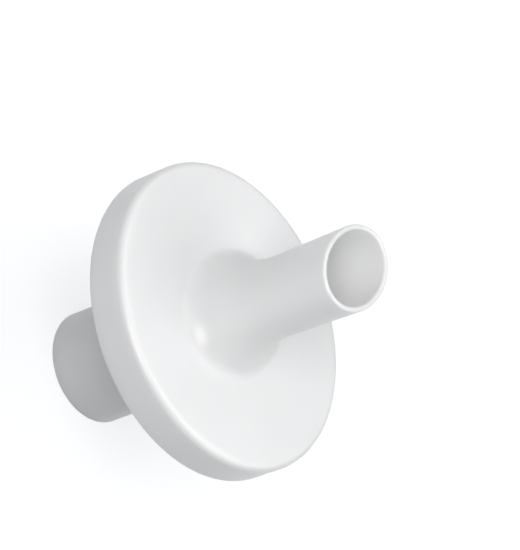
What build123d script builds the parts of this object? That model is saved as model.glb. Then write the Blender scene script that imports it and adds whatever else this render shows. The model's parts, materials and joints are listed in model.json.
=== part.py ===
from build123d import *
import math
import os

# Breathing circuit filter: a round moulded body in two welded halves, with an oval mouthpiece
# tube on one side, a round machine port on the other and a nonwoven pad clamped between them.
# Frame: millimetres. +Z runs along the airway from the machine port to the mouthpiece, the
# origin is the centre of the machine port's end face and +X lies along the wide way of the oval.

# Body
disc_diameter = 90.0       # outside of the round body
body_depth = 12.5          # between the two flat faces
port_reach = 42.75         # end of the machine port to the back face
mouth_reach = 44.75        # front face to the lip of the mouthpiece
wall = 1.6                 # faces, necks and tubes of both halves
rim_wall = 2.2             # rim, carried by the mouthpiece half
front_round = 2.0          # outside edge between front face and rim
back_chamfer = 1.1         # outside edge at the back of the rim

# Weld seat: the back plate drops into a step in the rim
socket_wall = 1.6          # rim wall left beside the back plate
weld_clearance = 0.1       # radial, between back plate and rim
seam_chamfer = 0.3         # on the back plate's edge, so that the seam shows as a fine groove

# Machine port
port_bore_diameter = 30.0
port_wall = 1.5
port_neck_widen = 6.5      # how far the neck spreads from the port
port_neck_rise = 16.0      # how far along the port it spreads
port_end_chamfer = 0.5     # lead-in on both edges of the port's end

# Oval mouthpiece, outside sizes
lip_wide = 33.0
lip_narrow = 22.0
mouth_taper = 1.0          # the tube is this much smaller where its neck starts
mouth_neck_widen = 8.0
mouth_neck_rise = 18.0
lip_chamfer = 0.5          # on both edges of the lip

# How many straight bands make a curve of a quarter turn, few enough for a light mesh
neck_steps = 4
front_round_steps = 3

# Filter pad and what holds it
pad_thickness = 2.0
pad_lap = 0.2              # how far the pad reaches out past the clamp rings
ring_gap = 1.0             # between the clamp rings and the rim
ring_wall = 1.5
rib_count = 12
rib_thickness = 1.2
rib_overhang = 3.0         # how far the ribs reach in over the throat

disc_r = disc_diameter / 2
back_z = port_reach
front_z = back_z + body_depth
lip_z = front_z + mouth_reach
mid_z = back_z + body_depth / 2
rim_inner_r = disc_r - rim_wall
socket_r = disc_r - socket_wall
plate_r = socket_r - weld_clearance
bore_r = port_bore_diameter / 2
port_r = bore_r + port_wall
ring_outer_r = rim_inner_r - ring_gap
ring_inner_r = ring_outer_r - ring_wall
pad_r = ring_outer_r + pad_lap
pad_top_z = mid_z + pad_thickness / 2
pad_bottom_z = mid_z - pad_thickness / 2
mouth_neck_top_z = front_z + mouth_neck_rise
throat_wide_r = (lip_wide - mouth_taper) / 2 + mouth_neck_widen
throat_narrow_r = (lip_narrow - mouth_taper) / 2 + mouth_neck_widen
port_throat_r = port_r + port_neck_widen


def quarter_curve(across, along, steps):
    """Points of a quarter ellipse from its flat end, as pairs of distance along and across.

    A neck leaves the face flat and enters its tube straight, and the round of the rim runs
    between face and side in the same way.
    """
    turns = [math.pi / 2 * (1 - step / steps) for step in range(steps + 1)]
    return [(along * (1 - math.sin(turn)), across * math.cos(turn)) for turn in turns]


with BuildPart() as mouthpiece_housing:
    # Front face and rim, turned as one cup with a step for the back plate
    with BuildSketch(Plane.XZ) as cup:
        with BuildLine():
            Polyline(
                (0, front_z),
                *[(disc_r - front_round + out, front_z - drop) for drop, out in
                  quarter_curve(front_round, front_round, front_round_steps)],
                (disc_r, back_z), (socket_r, back_z),
                (socket_r, back_z + wall), (rim_inner_r, back_z + wall),
                (rim_inner_r, front_z - wall), (0, front_z - wall), close=True,
            )
        make_face()
        chamfer(cup.vertices().sort_by_distance((disc_r, back_z))[0], back_chamfer)
    revolve(axis=Axis.Z)

    # Flared neck and oval tube, solid first and then hollowed to an even wall
    for inset, mode in ((0, Mode.ADD), (wall, Mode.SUBTRACT)):
        for height, reach in quarter_curve(mouth_neck_widen + inset, mouth_neck_rise + inset,
                                           neck_steps):
            with BuildSketch(Plane.XY.offset(front_z - inset + height)):
                Ellipse(throat_wide_r - reach, throat_narrow_r - reach)
        loft(ruled=True, mode=mode)
        with BuildSketch(Plane.XY.offset(mouth_neck_top_z)):
            Ellipse(throat_wide_r - mouth_neck_widen - inset,
                    throat_narrow_r - mouth_neck_widen - inset)
        with BuildSketch(Plane.XY.offset(lip_z)):
            Ellipse(lip_wide / 2 - inset, lip_narrow / 2 - inset)
        loft(ruled=True, mode=mode)
    chamfer(mouthpiece_housing.edges().group_by(Axis.Z)[-1], lip_chamfer)

    # Clamp ring over the edge of the pad, and ribs that keep the pad off the face and end
    # short of the throat
    with BuildSketch(Plane.XY.offset(pad_top_z)):
        Circle(ring_outer_r)
        Circle(ring_inner_r, mode=Mode.SUBTRACT)
        with PolarLocations(ring_inner_r / 2, rib_count):
            Rectangle(ring_inner_r + ring_wall, rib_thickness)
        Ellipse(throat_wide_r - rib_overhang, throat_narrow_r - rib_overhang, mode=Mode.SUBTRACT)
    extrude(amount=front_z - wall - pad_top_z)
mouthpiece_housing.part.label = "mouthpiece_housing"

with BuildPart() as machine_housing:
    # Round port, its neck and the back plate, turned as one profile
    with BuildSketch(Plane.XZ) as shell:
        with BuildLine():
            outside = [(port_throat_r - reach, back_z - height) for height, reach in
                       quarter_curve(port_neck_widen, port_neck_rise, neck_steps)]
            inside = [(port_throat_r - reach, back_z + wall - height) for height, reach in
                      quarter_curve(port_neck_widen + port_wall, port_neck_rise + wall,
                                    neck_steps)]
            Polyline((bore_r, 0), (port_r, 0), *reversed(outside), (plate_r, back_z),
                     (plate_r, back_z + wall), *inside, close=True)
        make_face()
        for corner_r in (bore_r, port_r):
            chamfer(shell.vertices().sort_by_distance((corner_r, 0))[0], port_end_chamfer)
        chamfer(shell.vertices().sort_by_distance((plate_r, back_z))[0], seam_chamfer)
    revolve(axis=Axis.Z)

    # Clamp ring and ribs under the pad, facing those of the other half
    with BuildSketch(Plane.XY.offset(back_z + wall)):
        Circle(ring_outer_r)
        Circle(ring_inner_r, mode=Mode.SUBTRACT)
        with PolarLocations(ring_inner_r / 2, rib_count):
            Rectangle(ring_inner_r + ring_wall, rib_thickness)
        Circle(port_throat_r - rib_overhang, mode=Mode.SUBTRACT)
    extrude(amount=pad_bottom_z - back_z - wall)
machine_housing.part.label = "machine_housing"

with BuildPart() as filter_pad:
    # Round pad of nonwoven, held by the clamp rings along its edge and by the ribs
    with BuildSketch(Plane.XY.offset(pad_bottom_z)):
        Circle(pad_r)
    extrude(amount=pad_thickness)
filter_pad.part.label = "filter_pad"

os.makedirs("parts", exist_ok=True)
export_step(mouthpiece_housing.part, "parts/mouthpiece_housing.step")
export_step(machine_housing.part, "parts/machine_housing.step")
export_step(filter_pad.part, "parts/filter_pad.step")
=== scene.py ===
# %% [markdown]
# # A breathing circuit filter in glossy white plastic
# The object is a disposable filter for breathing tests. Two white moulded halves are welded
# round a thin nonwoven pad: one half carries an oval mouthpiece tube, the other a round port
# for the machine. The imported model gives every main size. This lesson builds fine meshes over
# it, gives them a moulded plastic and a felted fibre finish, and lights them like a catalogue
# picture. Lengths are in metres unless a name ends in _mm, and +Z runs up the airway from the
# machine port, on which the filter stands, to the lip of the mouthpiece.

import json
import math

import bmesh
import bpy
from mathutils import Matrix, Vector, noise


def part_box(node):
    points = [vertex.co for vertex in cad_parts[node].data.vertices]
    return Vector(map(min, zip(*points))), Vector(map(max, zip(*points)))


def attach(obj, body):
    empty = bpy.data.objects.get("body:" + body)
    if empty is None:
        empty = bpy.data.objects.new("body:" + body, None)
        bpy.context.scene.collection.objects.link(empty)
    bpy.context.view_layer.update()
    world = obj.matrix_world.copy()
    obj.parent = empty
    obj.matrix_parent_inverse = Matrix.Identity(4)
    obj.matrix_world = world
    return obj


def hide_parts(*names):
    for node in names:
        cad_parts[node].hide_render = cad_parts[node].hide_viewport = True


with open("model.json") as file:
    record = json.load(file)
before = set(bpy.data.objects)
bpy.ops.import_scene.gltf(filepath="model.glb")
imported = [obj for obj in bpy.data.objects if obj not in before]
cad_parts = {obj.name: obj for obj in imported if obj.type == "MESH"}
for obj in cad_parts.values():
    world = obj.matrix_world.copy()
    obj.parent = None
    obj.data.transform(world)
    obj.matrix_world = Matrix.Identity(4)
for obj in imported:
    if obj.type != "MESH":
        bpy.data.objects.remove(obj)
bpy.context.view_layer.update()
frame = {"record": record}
MM = 0.001

# %% [markdown]
# ## Sizes
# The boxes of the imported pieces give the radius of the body, the heights of its faces and the
# length of the tubes, and the record's mounts give the port's bore and outside. What a box
# can't tell, such as a wall or the curve of a neck, is written here once, in millimetres, as
# in the solid model. The fine meshes then lie on the solids instead of beside them.

# %% Read and name the sizes
front_low, front_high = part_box("mouthpiece_housing")
back_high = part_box("machine_housing")[1]
pad_low, pad_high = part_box("filter_pad")
mounts = {m["name"]: m for m in frame["record"]["mounts"]}

BODY_R = front_high.x
BACK_Z = front_low.z
LIP_Z = front_high.z
PLATE_R = back_high.x
MIDDLE_Z = (pad_low.z + pad_high.z) / 2
FRONT_Z = 2 * MIDDLE_Z - BACK_Z
PAD_R = pad_high.x
PAD_SQUEEZE = 0.35 * MM       # how far each clamp ring presses into the felt
PAD_EDGE_LOW_Z = pad_low.z + PAD_SQUEEZE
PAD_EDGE_HIGH_Z = pad_high.z - PAD_SQUEEZE
BORE_R = mounts["machine_port_bore"]["dims"]["r_mm"] * MM
PORT_R = mounts["machine_port_outside"]["dims"]["r_mm"] * MM

WALL = 1.6 * MM
RIM_WALL = 2.2 * MM
SOCKET_WALL = 1.6 * MM
FRONT_ROUND = 2.0 * MM
BACK_ROUND = 1.2 * MM
SEAM_ROUND = 0.25 * MM
SEAT_ROUND = 0.1 * MM         # the edges of the weld seat, which stay crisp
RING_EDGE_ROUND = 0.2 * MM    # where a clamp ring presses on the felt
RING_ROOT_ROUND = 0.3 * MM    # where a clamp ring grows out of its wall
LIP_HALF_WIDE, LIP_HALF_NARROW = 16.5 * MM, 11.0 * MM
MOUTH_TAPER = 0.5 * MM        # the tube's half sizes shrink by this where its neck starts
MOUTH_NECK = (8.0 * MM, 18.0 * MM)    # how far the neck spreads, and how far up it does
PORT_NECK = (6.5 * MM, 16.0 * MM)
RING_GAP = 1.0 * MM
RING_WALL = 1.5 * MM
RIB_COUNT = 12
RIB_THICKNESS = 1.2 * MM
RIB_OVERHANG = 3.0 * MM       # how far the ribs reach in over the throat

LONGEST_RUN = 3.0 * MM        # a straight run of an outline is split above this

RIM_INNER_R = BODY_R - RIM_WALL
SOCKET_R = BODY_R - SOCKET_WALL
RING_OUTER_R = RIM_INNER_R - RING_GAP
RING_INNER_R = RING_OUTER_R - RING_WALL
THROAT_WIDE = LIP_HALF_WIDE - MOUTH_TAPER + MOUTH_NECK[0]
THROAT_NARROW = LIP_HALF_NARROW - MOUTH_TAPER + MOUTH_NECK[0]
PORT_THROAT_R = PORT_R + PORT_NECK[0]
print(f"body {2 * BODY_R / MM:.1f} mm across, faces at {BACK_Z / MM:.2f} and {FRONT_Z / MM:.2f} mm,"
      f" lip at {LIP_Z / MM:.1f} mm, port {2 * PORT_R / MM:.1f} mm outside")

# %% [markdown]
# ## Colours and nodes
# A colour is written as the sRGB hex value that an eye or a colour picker would give, and one
# function turns it to the linear values that the renderer works in. One more function adds a
# node, sets its inputs and links it, so a material reads as a list of what feeds what.


# %% Two small helpers for materials
def linear(hex_colour):
    """The linear red, green, blue and alpha of an sRGB hex colour."""
    channels = [int(hex_colour[i:i + 2], 16) / 255 for i in (1, 3, 5)]
    return tuple(c / 12.92 if c <= 0.04045 else ((c + 0.055) / 1.055) ** 2.4
                 for c in channels) + (1.0,)


def add_node(material, kind, settings=(), **inputs):
    """Adds a node. Each input is a value, or a socket of another node to link from."""
    node = material.node_tree.nodes.new(kind)
    for name, value in dict(settings).items():
        setattr(node, name, value)
    for name, value in inputs.items():
        key = int(name[1:]) if name[0] == "i" and name[1:].isdigit() else name.replace("_", " ")
        socket = node.inputs[key]
        if isinstance(value, bpy.types.NodeSocket):
            material.node_tree.links.new(value, socket)
        else:
            socket.default_value = value
    return node


def new_material(name):
    """An empty node material with its output, and the object's own coordinates in metres."""
    material = bpy.data.materials.new(name)
    material.use_nodes = True
    material.node_tree.nodes.clear()
    output = add_node(material, "ShaderNodeOutputMaterial")
    place = add_node(material, "ShaderNodeTexCoord").outputs["Object"]
    return material, output, place


print("the plastic's white as linear:", [round(c, 3) for c in linear("#F9F9F8")])

# %% [markdown]
# ## White moulded polystyrene
# The housing is high-impact polystyrene with a white pigment, injected into a polished steel
# tool. That gives the eye a clean, slightly soft white: light enters the surface a little and
# comes out beside where it went in, so thin edges glow, and a clear skin on top gives a broad,
# gentle gloss. Polystyrene has an index of refraction of 1.59. The tool's polish leaves a
# faint orange peel. The real grain is finer than a pixel here, so it is drawn 1.2 mm across.
# The cooling wall pulls in by some hundredths of a millimetre over 14 mm, and the pigment
# flows in faint clouds of about 16 mm. All three come from noise at those sizes. Handling
# leaves the gloss a little uneven over 12 mm.

# %% Make the housing plastic
POLYSTYRENE_IOR = 1.59
PEEL_MM, PULL_MM, CLOUD_MM, HANDLING_MM = 1.2, 14.0, 16.0, 12.0
PEEL_DEPTH, PULL_DEPTH = 0.0005 * MM, 0.04 * MM
LIGHT_REACH = 1.5 * MM        # how far light spreads inside the wall


def per_metre(size_mm):
    """The noise scale that makes features of this size."""
    return 1 / (size_mm * MM)


def make_polystyrene():
    material, output, place = new_material("moulded_white_polystyrene")
    clouds = add_node(material, "ShaderNodeTexNoise", Vector=place, Scale=per_metre(CLOUD_MM),
                      Detail=1.0, Roughness=0.5)
    colour = add_node(material, "ShaderNodeMix", {"data_type": "RGBA"}, i0=clouds.outputs[0],
                      i6=linear("#F6F7F7"), i7=linear("#F9F9F8"))
    handling = add_node(material, "ShaderNodeTexNoise", Vector=place,
                        Scale=per_metre(HANDLING_MM), Detail=1.0, Roughness=0.5)
    gloss = add_node(material, "ShaderNodeMapRange", Value=handling.outputs[0],
                     From_Min=0.3, From_Max=0.7, To_Min=0.30, To_Max=0.34)
    peel = add_node(material, "ShaderNodeTexNoise", Vector=place, Scale=per_metre(PEEL_MM),
                    Detail=1.0, Roughness=0.4)
    pull = add_node(material, "ShaderNodeTexNoise", Vector=place, Scale=per_metre(PULL_MM),
                    Detail=1.0, Roughness=0.3)
    skin = add_node(material, "ShaderNodeBump", Height=pull.outputs[0], Strength=1.0,
                    Distance=PULL_DEPTH)
    skin = add_node(material, "ShaderNodeBump", Height=peel.outputs[0], Strength=1.0,
                    Distance=PEEL_DEPTH, Normal=skin.outputs[0])
    plastic = add_node(material, "ShaderNodeBsdfPrincipled", Base_Color=colour.outputs[2],
                       Roughness=gloss.outputs[0], Normal=skin.outputs[0],
                       IOR=POLYSTYRENE_IOR, Subsurface_Weight=0.8,
                       Subsurface_Radius=(1.0, 0.96, 0.9), Subsurface_Scale=LIGHT_REACH)
    material.node_tree.links.new(plastic.outputs[0], output.inputs[0])
    return material


polystyrene = make_polystyrene()
print("made", polystyrene.name, "with", len(polystyrene.node_tree.nodes), "nodes")

# %% [markdown]
# ## Charged polypropylene felt
# The pad is a nonwoven of charged polypropylene fibres, laid at random and needled into a
# soft white felt. The eye sees a dull, cottony white with crossing threads and small denser
# spots. Real fibres are about 0.03 mm thick, too fine to show here, so they are drawn as
# streaks 0.25 mm wide and ten times as long. Noise that is stretched along one direction
# gives such streaks, and three layers turned against each other give the crossing.

# %% Make the felt
POLYPROPYLENE_IOR = 1.49
FIBRE_MM, FIBRE_STRETCH, LUMP_MM = 0.25, 10.0, 2.2
FIBRE_DEPTH, LUMP_DEPTH = 0.12 * MM, 0.3 * MM


def make_felt():
    material, output, place = new_material("nonwoven_polypropylene_felt")
    layers = []
    for turn in (12.0, 71.0, 133.0):
        turned = add_node(material, "ShaderNodeMapping", Vector=place,
                          Rotation=(0.0, 0.0, math.radians(turn)),
                          Scale=(1.0, 1 / FIBRE_STRETCH, 1.0))
        layers.append(add_node(material, "ShaderNodeTexNoise", Vector=turned.outputs[0],
                               Scale=per_metre(FIBRE_MM), Detail=2.0, Distortion=0.6))
    crossed = add_node(material, "ShaderNodeMath", {"operation": "MAXIMUM"},
                       i0=layers[0].outputs[0], i1=layers[1].outputs[0])
    crossed = add_node(material, "ShaderNodeMath", {"operation": "MAXIMUM"},
                       i0=crossed.outputs[0], i1=layers[2].outputs[0])
    lumps = add_node(material, "ShaderNodeTexNoise", Vector=place, Scale=per_metre(LUMP_MM),
                     Detail=3.0)
    threads = add_node(material, "ShaderNodeMapRange", Value=crossed.outputs[0],
                       From_Min=0.45, From_Max=0.75)
    colour = add_node(material, "ShaderNodeMix", {"data_type": "RGBA"}, i0=threads.outputs[0],
                      i6=linear("#DFE0DD"), i7=linear("#F4F4F0"))
    soft = add_node(material, "ShaderNodeBump", Height=lumps.outputs[0], Strength=0.6,
                    Distance=LUMP_DEPTH)
    soft = add_node(material, "ShaderNodeBump", Height=threads.outputs[0], Strength=0.8,
                    Distance=FIBRE_DEPTH, Normal=soft.outputs[0])
    felt = add_node(material, "ShaderNodeBsdfPrincipled", Base_Color=colour.outputs[2],
                    Roughness=0.92, IOR=POLYPROPYLENE_IOR, Normal=soft.outputs[0],
                    Sheen_Weight=0.15, Sheen_Roughness=0.5)
    material.node_tree.links.new(felt.outputs[0], output.inputs[0])
    return material


felt = make_felt()
print("made", felt.name, "with", len(felt.node_tree.nodes), "nodes")

# %% [markdown]
# ## One loop carried round the airway
# Both halves are hollow rings: cut through the wall anywhere and the cut is one closed
# outline, out along the face, round the rim, back inside and up the bore. Such a shape could
# be made by subdividing a rough cage or by screwing a curve round an axis. Here the outline is
# a list of points, and each point carries a half width along X and along Y, so the same sweep
# can be round at the rim and oval at the mouthpiece. Corners are softened first, as a moulding
# tool's are, and long runs are split so that the quads stay even.


# %% Outline helpers
def softened(points, radii, steps=5):
    """A run of (distance out, height) points with every inner corner turned into an arc."""
    made = [points[0]]
    for before, corner, after, radius in zip(points, points[1:], points[2:], radii):
        corner, arms = Vector(corner), []
        for end in (before, after):
            arm = Vector(end) - corner
            arms.append(arm.normalized())
        half = arms[0].angle(arms[1]) / 2
        centre = corner + (arms[0] + arms[1]).normalized() * radius / math.sin(half)
        start = corner + arms[0] * radius / math.tan(half) - centre
        sweep = start.angle_signed(corner + arms[1] * radius / math.tan(half) - centre)
        for step in range(steps + 1):
            spoke = start.copy()
            spoke.rotate(Matrix.Rotation(-sweep * step / steps, 2))
            made.append(tuple(centre + spoke))
    return made + [points[-1]]


def neck(foot_z, up, spread, rise, inset, steps=20):
    """(reach in from the throat, height) pairs up a neck shaped as a quarter ellipse."""
    points = []
    for step in range(steps + 1):
        angle = math.pi / 2 * (1 - step / steps)
        points.append(((spread + inset) * math.cos(angle),
                       foot_z + up * (rise - (rise + inset) * math.sin(angle))))
    return points


def split_runs(loop, longest):
    """The closed loop with every run longer than this cut into equal parts."""
    made = []
    for here, there in zip(loop, loop[1:] + loop[:1]):
        here, there = Vector(here), Vector(there)
        parts = max(1, math.ceil((there - here).length / longest))
        made += [tuple(here.lerp(there, part / parts)) for part in range(parts)]
    return made


def round_points(points):
    """Round rings from (distance out, height) points, as (half X, half Y, height)."""
    return [(out, out, height) for out, height in points]


print("a softened square corner has", len(softened([(0, 0), (1, 0), (1, 1)], [0.2])), "points")

# %% [markdown]
# The sweep turns the outline into a mesh. It walks round in equal angles, puts one copy of the
# outline at each and joins neighbours with quads. The mesh gets smooth shading with sharp
# edges kept only where two faces really meet at a steep angle.


# %% Mesh helpers
AROUND = 192
SHARP_DEGREES = 38
SAME_POINT = 0.0001 * MM


def finish_mesh(mesh, name, material):
    """Closes a bmesh into an object with outward normals, smooth shading and a material."""
    bmesh.ops.remove_doubles(mesh, verts=mesh.verts, dist=SAME_POINT)
    bmesh.ops.recalc_face_normals(mesh, faces=mesh.faces)
    data = bpy.data.meshes.new(name)
    mesh.to_mesh(data)
    mesh.free()
    data.materials.append(material)
    data.shade_smooth()
    data.set_sharp_from_angle(angle=math.radians(SHARP_DEGREES))
    piece = bpy.data.objects.new(name, data)
    bpy.context.scene.collection.objects.link(piece)
    return piece


def swept(loop):
    """A bmesh of a closed loop of (half X, half Y, height) carried once round the Z axis."""
    mesh = bmesh.new()
    rings = []
    for k in range(AROUND):
        angle = 2 * math.pi * k / AROUND
        rings.append([mesh.verts.new((wide * math.cos(angle), narrow * math.sin(angle), z))
                      for wide, narrow, z in loop])
    for ring, following in zip(rings, rings[1:] + rings[:1]):
        for i in range(len(loop)):
            j = (i + 1) % len(loop)
            mesh.faces.new((ring[i], ring[j], following[j], following[i]))
    return mesh


print(f"one step of a sweep is {2 * math.pi * BODY_R / AROUND / MM:.2f} mm along the rim")

# %% [markdown]
# ## Ribs that carry the pad
# Under each face stand twelve thin ribs, which keep the pad off the wall so that air reaches
# all of it. They could be extra pieces, but in a moulding they are one with the wall, so each
# is a bar with softened edges that a boolean union melts into the swept shell.


# %% Rib helper
RIB_ROOT = 0.7 * MM     # how far a rib runs into the ring and the face that carry it
RIB_SOFT = 0.25 * MM
SPECK = 0.002 * MM      # faces and edges smaller than this are left over from the union


def add_ribs(shell, pad_side_z, wall_z, start_wide, start_narrow):
    """Unites the shell with ribs that run from an oval over the throat to the clamp ring."""
    bars = bmesh.new()
    low, high = sorted((pad_side_z, wall_z + math.copysign(RIB_ROOT, wall_z - pad_side_z)))
    for k in range(RIB_COUNT):
        angle = 2 * math.pi * k / RIB_COUNT
        start = 1 / math.hypot(math.cos(angle) / start_wide, math.sin(angle) / start_narrow)
        end = RING_INNER_R + RIB_ROOT
        bar = bmesh.ops.create_cube(bars, size=1.0)["verts"]
        bmesh.ops.scale(bars, verts=bar, vec=(end - start, RIB_THICKNESS, high - low))
        bmesh.ops.translate(bars, verts=bar, vec=((start + end) / 2, 0, (low + high) / 2))
        bmesh.ops.rotate(bars, verts=bar, matrix=Matrix.Rotation(angle, 3, "Z"))
    bmesh.ops.bevel(bars, geom=bars.edges[:], offset=RIB_SOFT, segments=2, affect="EDGES")
    ribs = finish_mesh(bars, "ribs_to_unite", polystyrene)
    union = shell.modifiers.new("ribs", "BOOLEAN")
    union.operation, union.solver, union.object = "UNION", "EXACT", ribs
    depsgraph = bpy.context.evaluated_depsgraph_get()
    merged = bpy.data.meshes.new_from_object(shell.evaluated_get(depsgraph))
    cleaned = bmesh.new()
    cleaned.from_mesh(merged)
    bmesh.ops.dissolve_degenerate(cleaned, edges=cleaned.edges, dist=SPECK)
    cleaned.to_mesh(merged)
    cleaned.free()
    merged.set_sharp_from_angle(angle=math.radians(SHARP_DEGREES))
    shell.modifiers.clear()
    shell.data = merged
    bpy.data.objects.remove(ribs)


print(RIB_COUNT, "ribs,", round(RIB_THICKNESS / MM, 1), "mm thick, for each half")

# %% [markdown]
# ## The mouthpiece half
# This half is what the photograph shows most of: a flat round face with a softly rounded
# edge, a deep rim, and a tube that grows out of the face through a long concave neck. The neck
# starts oval and flat on the face and ends upright in the tube. The lip is fully rounded,
# because it goes between the teeth. The outline below runs from the neck's foot inside, out
# under the face, round the rim, in along the face and up the tube.

# %% Draw the mouthpiece half's outline
LIP_ROUND = 0.75 * MM
LIP_STEPS = 8
UNDER_ROUND = 0.45 * MM       # inside corner between the face and the rim
STEP_ROUND = 0.15 * MM        # inner edge of the step for the back plate


def mouthpiece_outline():
    under_z = FRONT_Z - WALL
    disc = softened(
        [(RING_INNER_R, under_z), (RING_INNER_R, PAD_EDGE_HIGH_Z),
         (RING_OUTER_R, PAD_EDGE_HIGH_Z), (RING_OUTER_R, under_z), (RIM_INNER_R, under_z),
         (RIM_INNER_R, BACK_Z + WALL), (SOCKET_R, BACK_Z + WALL), (SOCKET_R, BACK_Z),
         (BODY_R, BACK_Z), (BODY_R, FRONT_Z), (THROAT_WIDE, FRONT_Z)],
        [RING_EDGE_ROUND, RING_EDGE_ROUND, RING_ROOT_ROUND, UNDER_ROUND, STEP_ROUND,
         SEAT_ROUND, SEAM_ROUND, BACK_ROUND, FRONT_ROUND])
    neck_top_z = FRONT_Z + MOUTH_NECK[1]
    outside = [(THROAT_WIDE - reach, THROAT_NARROW - reach, z)
               for reach, z in neck(FRONT_Z, 1, *MOUTH_NECK, 0.0)]
    inside = [(THROAT_WIDE - reach, THROAT_NARROW - reach, z)
              for reach, z in neck(FRONT_Z, 1, *MOUTH_NECK, WALL)]
    lip = []
    for centre_inset, first in ((LIP_ROUND, 0), (WALL - LIP_ROUND, 90)):
        for step in range(LIP_STEPS + 1):
            angle = math.radians(first + 90 * step / LIP_STEPS)
            inset = centre_inset - LIP_ROUND * math.cos(angle)
            z = LIP_Z - LIP_ROUND + LIP_ROUND * math.sin(angle)
            shrink = MOUTH_TAPER * (LIP_Z - z) / (LIP_Z - neck_top_z)
            lip.append((LIP_HALF_WIDE - shrink - inset, LIP_HALF_NARROW - shrink - inset, z))
    return split_runs(round_points(disc[:-1]) + outside + lip + inside[::-1], LONGEST_RUN)


print("mouthpiece outline:", len(mouthpiece_outline()), "points")

# %% Sweep the outline, add the ribs and put the half in its place
mouthpiece = finish_mesh(swept(mouthpiece_outline()), "mouthpiece_half", polystyrene)
add_ribs(mouthpiece, pad_high.z, FRONT_Z - WALL, THROAT_WIDE - RIB_OVERHANG,
         THROAT_NARROW - RIB_OVERHANG)
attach(mouthpiece, "root")
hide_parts("mouthpiece_housing")
print("mouthpiece half:", len(mouthpiece.data.polygons), "faces")

# %% [markdown]
# ## The machine half
# The other half is turned all round: a plain port with a softened end, a neck like the one on
# the front, and a flat back plate. The plate drops into a step in the rim of the first half,
# and the weld leaves a fine groove there, which is the only seam that shows.

# %% Draw the machine half's outline
PORT_END_ROUND = 0.45 * MM


def machine_outline():
    over_z = BACK_Z + WALL
    plate = softened(
        [(PORT_THROAT_R, BACK_Z), (PLATE_R, BACK_Z), (PLATE_R, over_z), (RING_OUTER_R, over_z),
         (RING_OUTER_R, PAD_EDGE_LOW_Z), (RING_INNER_R, PAD_EDGE_LOW_Z),
         (RING_INNER_R, over_z), (PORT_THROAT_R, over_z)],
        [SEAM_ROUND, SEAT_ROUND, RING_ROOT_ROUND, RING_EDGE_ROUND, RING_EDGE_ROUND,
         RING_ROOT_ROUND])
    outside = [(PORT_THROAT_R - reach, z) for reach, z in neck(BACK_Z, -1, *PORT_NECK, 0.0)]
    inside = [(PORT_THROAT_R - reach, z)
              for reach, z in neck(BACK_Z, -1, *PORT_NECK, PORT_R - BORE_R)]
    end = softened([outside[-1], (PORT_R, 0.0), (BORE_R, 0.0), inside[-1]],
                   [PORT_END_ROUND, PORT_END_ROUND])
    loop = plate[1:-1] + inside[:-1] + end[::-1] + outside[::-1][1:]
    return split_runs(round_points(loop), LONGEST_RUN)


print("machine outline:", len(machine_outline()), "points")

# %% Sweep it, add the ribs and put the half in its place
machine = finish_mesh(swept(machine_outline()), "machine_half", polystyrene)
add_ribs(machine, pad_low.z, BACK_Z + WALL, PORT_THROAT_R - RIB_OVERHANG,
         PORT_THROAT_R - RIB_OVERHANG)
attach(machine, "root")
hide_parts("machine_housing")
print("machine half:", len(machine.data.polygons), "faces")

# %% [markdown]
# ## The filter pad
# The pad is a disc of felt, squeezed a little where the clamp rings hold it. A cloth simulation
# could swell it, but the shape is so shallow that a formula says it as well: full thickness at
# the ribs, a low pillow between them and over the open throat, and a small unevenness from
# noise. The formula takes the machine half's round throat for both faces. The other half's
# throat is oval, so on its narrow sides the pillow runs into the inner ends of that half's
# ribs, by up to 0.24 mm at six of them.

# %% Draw the pad's half section
PAD_SLOPE = 0.7 * MM          # width of the slope from the squeezed edge to full thickness
PAD_RING_STEP = 0.6 * MM      # distance between the rings of points on its faces
PAD_FACE_ROUND, PAD_NIP_ROUND, PAD_EDGE_ROUND = 0.3 * MM, 0.2 * MM, 0.4 * MM


def pad_outline():
    """The pad's half section from the middle of its top round the edge to the middle below."""
    top = [(step * PAD_RING_STEP, pad_high.z)
           for step in range(int((RING_INNER_R - PAD_SLOPE) / PAD_RING_STEP) + 1)]
    edge = softened(
        [top[-1], (RING_INNER_R - PAD_SLOPE, pad_high.z), (RING_INNER_R, PAD_EDGE_HIGH_Z),
         (PAD_R, PAD_EDGE_HIGH_Z), (PAD_R, PAD_EDGE_LOW_Z), (RING_INNER_R, PAD_EDGE_LOW_Z),
         (RING_INNER_R - PAD_SLOPE, pad_low.z), (top[-1][0], pad_low.z)],
        [PAD_FACE_ROUND, PAD_NIP_ROUND, PAD_EDGE_ROUND, PAD_EDGE_ROUND, PAD_NIP_ROUND,
         PAD_FACE_ROUND], steps=3)
    return top[:-1] + edge + [(out, pad_low.z) for out, _ in top[-2::-1]]


section = pad_outline()
print("pad section:", len(section), "points")

# %% Turn it, swell it and put the pad in its place
PILLOW = 0.25 * MM
UNEVEN, UNEVEN_SIZE = 0.06 * MM, 2.5 * MM
EDGE_FADE, THROAT_FADE = 3.0 * MM, 2.0 * MM   # how gently the pillow starts at each


def swell(vertex):
    """Moves a point of the pad's faces: up to a pillow between ribs, plus some unevenness."""
    out = math.hypot(vertex.co.x, vertex.co.y)
    if out > RING_INNER_R - PAD_SLOPE:
        return
    side = math.copysign(1, vertex.co.z - MIDDLE_Z)
    throat = PORT_THROAT_R - RIB_OVERHANG    # the machine half's, for both faces
    angle = math.atan2(vertex.co.y, vertex.co.x)
    between = math.sin(angle * RIB_COUNT / 2) ** 2 if out > throat else 1.0
    near_edge = min(1.0, (RING_INNER_R - PAD_SLOPE - out) / EDGE_FADE)
    near_throat = min(1.0, abs(out - throat) / THROAT_FADE)
    lift = PILLOW * between * near_edge * near_throat
    lift += UNEVEN * (noise.noise(vertex.co / UNEVEN_SIZE) - 0.5) * near_edge
    vertex.co.z += side * lift


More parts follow.
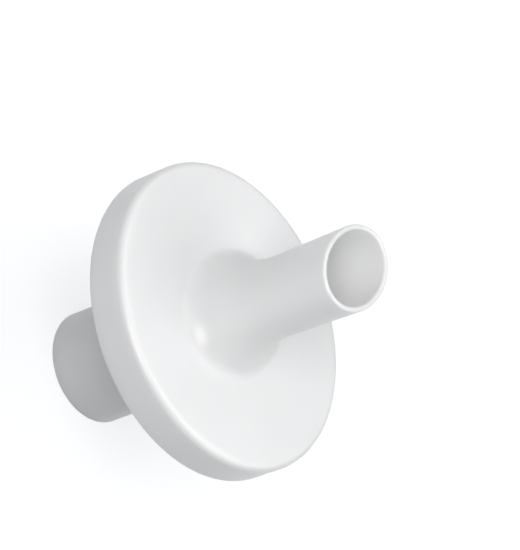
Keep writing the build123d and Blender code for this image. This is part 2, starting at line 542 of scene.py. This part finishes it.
pad_mesh = bmesh.new()
columns = [[pad_mesh.verts.new((out * math.cos(2 * math.pi * k / AROUND),
                                out * math.sin(2 * math.pi * k / AROUND), z))
            for out, z in section] for k in range(AROUND)]
for column, following in zip(columns, columns[1:] + columns[:1]):
    for i in range(len(section) - 1):
        pad_mesh.faces.new((column[i], column[i + 1], following[i + 1], following[i]))
for vertex in pad_mesh.verts:
    swell(vertex)
pad = finish_mesh(pad_mesh, "felt_pad", felt)
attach(pad, "root")
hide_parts("filter_pad")
print("pad:", len(pad.data.polygons), "faces")

# %% [markdown]
# ## Floor and surroundings
# The filter stands on matte pale paper that fills the whole view. The camera, and anything
# that mirrors the paper, sees it with some light of its own added, so that the background
# reads as white while the paper still keeps the object's shadow. The light that it throws
# back at the object isn't lifted. That light is a touch cool, as on the port and under the
# rim in the photograph, so the paper leans a little to blue. The room is a faint cool grey.

# %% Make the floor and the room
FLOOR_SIDE = 6.0
PAPER_LIFT = 0.68
PAPER_GRAIN_MM = 1.5


def make_paper():
    material, output, place = new_material("matte_pale_paper")
    grain = add_node(material, "ShaderNodeTexNoise", Vector=place, Scale=per_metre(PAPER_GRAIN_MM))
    tone = add_node(material, "ShaderNodeMix", {"data_type": "RGBA"}, i0=grain.outputs[0],
                    i6=linear("#AEB0B3"), i7=linear("#B2B4B7"))
    paper = add_node(material, "ShaderNodeBsdfDiffuse", Color=tone.outputs[2])
    light_path = add_node(material, "ShaderNodeLightPath")
    seen = add_node(material, "ShaderNodeMath", {"operation": "MAXIMUM"},
                    i0=light_path.outputs["Is Camera Ray"],
                    i1=light_path.outputs["Is Glossy Ray"])
    seen = add_node(material, "ShaderNodeMath", {"operation": "MAXIMUM"}, i0=seen.outputs[0],
                    i1=light_path.outputs["Is Transmission Ray"])
    lift = add_node(material, "ShaderNodeMath", {"operation": "MULTIPLY"}, i0=seen.outputs[0],
                    i1=PAPER_LIFT)
    glow = add_node(material, "ShaderNodeEmission", Color=linear("#FFFFFF"),
                    Strength=lift.outputs[0])
    both = add_node(material, "ShaderNodeAddShader", i0=paper.outputs[0], i1=glow.outputs[0])
    material.node_tree.links.new(both.outputs[0], output.inputs[0])
    return material


floor_mesh = bmesh.new()
bmesh.ops.create_grid(floor_mesh, x_segments=1, y_segments=1, size=FLOOR_SIDE / 2)
floor = finish_mesh(floor_mesh, "paper_floor", make_paper())

ROOM_STRENGTH = 0.08
world = bpy.data.worlds.new("studio_room")
bpy.context.scene.world = world
world.use_nodes = True
world.node_tree.nodes.clear()
room = add_node(world, "ShaderNodeBackground", Color=linear("#EAF1F8"),
                Strength=ROOM_STRENGTH)
add_node(world, "ShaderNodeOutputWorld", Surface=room.outputs[0])
print("floor", FLOOR_SIDE, "m, room at", ROOM_STRENGTH)

# %% [markdown]
# ## Light
# A pale glossy object needs big soft lights: small ones would leave hard glints and clip the
# white. The photograph shows a bright flat face, a rim that falls off to grey at its ends and
# light that reaches far down the bore. So a key softbox hangs on the camera's side, high
# enough to look into the tube, two wider ones stand left and right of it and open the sides
# of the neck, and one behind and above makes the flat face the brightest part.

# %% Place the softboxes
BODY_CENTRE = Vector((0.0, 0.0, 0.05))
LAMP_DISTANCE = 1.0
LAMPS = {
    # name: (azimuth and elevation in degrees, side in metres, watts)
    "key_softbox": (-20, 45, 0.6, 5.4),
    "left_softbox": (-92, 46, 1.2, 2.5),
    "right_softbox": (97, 47, 1.0, 3.9),
    "back_softbox": (167, 68, 0.8, 2.9),
}


def towards(azimuth, elevation):
    """The unit vector to a place, from its azimuth round Z from +X and its elevation."""
    turn, climb = math.radians(azimuth), math.radians(elevation)
    return Vector((math.cos(turn) * math.cos(climb), math.sin(turn) * math.cos(climb),
                   math.sin(climb)))


for name, (azimuth, elevation, side, watts) in LAMPS.items():
    lamp = bpy.data.lights.new(name, "AREA")
    lamp.shape, lamp.size, lamp.energy = "SQUARE", side, watts
    holder = bpy.data.objects.new(name, lamp)
    bpy.context.scene.collection.objects.link(holder)
    place = towards(azimuth, elevation)
    holder.location = BODY_CENTRE + place * LAMP_DISTANCE
    holder.rotation_euler = (-place).to_track_quat("-Z", "Y").to_euler()
    print(name, watts, "W")

bpy.context.scene.view_settings.view_transform = "Standard"

# %% [markdown]
# ## Camera
# The photograph looks down on the upright filter from 37 degrees above its body and is turned
# so far that the airway runs from lower left to upper right. The turn, the distance and the
# lens come from fitting the outlines of the disc, the port and the oval lip by given points,
# and a long lens of about 200 mm follows from how little the far port shrinks.

# %% Place the camera
CAMERA_AZIMUTH, CAMERA_ELEVATION, CAMERA_ROLL = -15.56, 36.95, 68.86
CAMERA_AIM = Vector((-0.0111, -0.0047, 0.0615))
CAMERA_DISTANCE = 0.8524
LENS_MM = 199.56

camera_data = bpy.data.cameras.new("catalogue_camera")
camera_data.lens, camera_data.sensor_width = LENS_MM, 36.0
camera = bpy.data.objects.new("catalogue_camera", camera_data)
bpy.context.scene.collection.objects.link(camera)
back = towards(CAMERA_AZIMUTH, CAMERA_ELEVATION)
level = back.to_track_quat("Z", "Y").to_matrix().to_4x4()
camera.matrix_world = (Matrix.Translation(CAMERA_AIM + back * CAMERA_DISTANCE) @ level
                       @ Matrix.Rotation(math.radians(CAMERA_ROLL), 4, "Z"))
bpy.context.scene.camera = camera
print("camera at", [round(x, 4) for x in camera.matrix_world.translation])
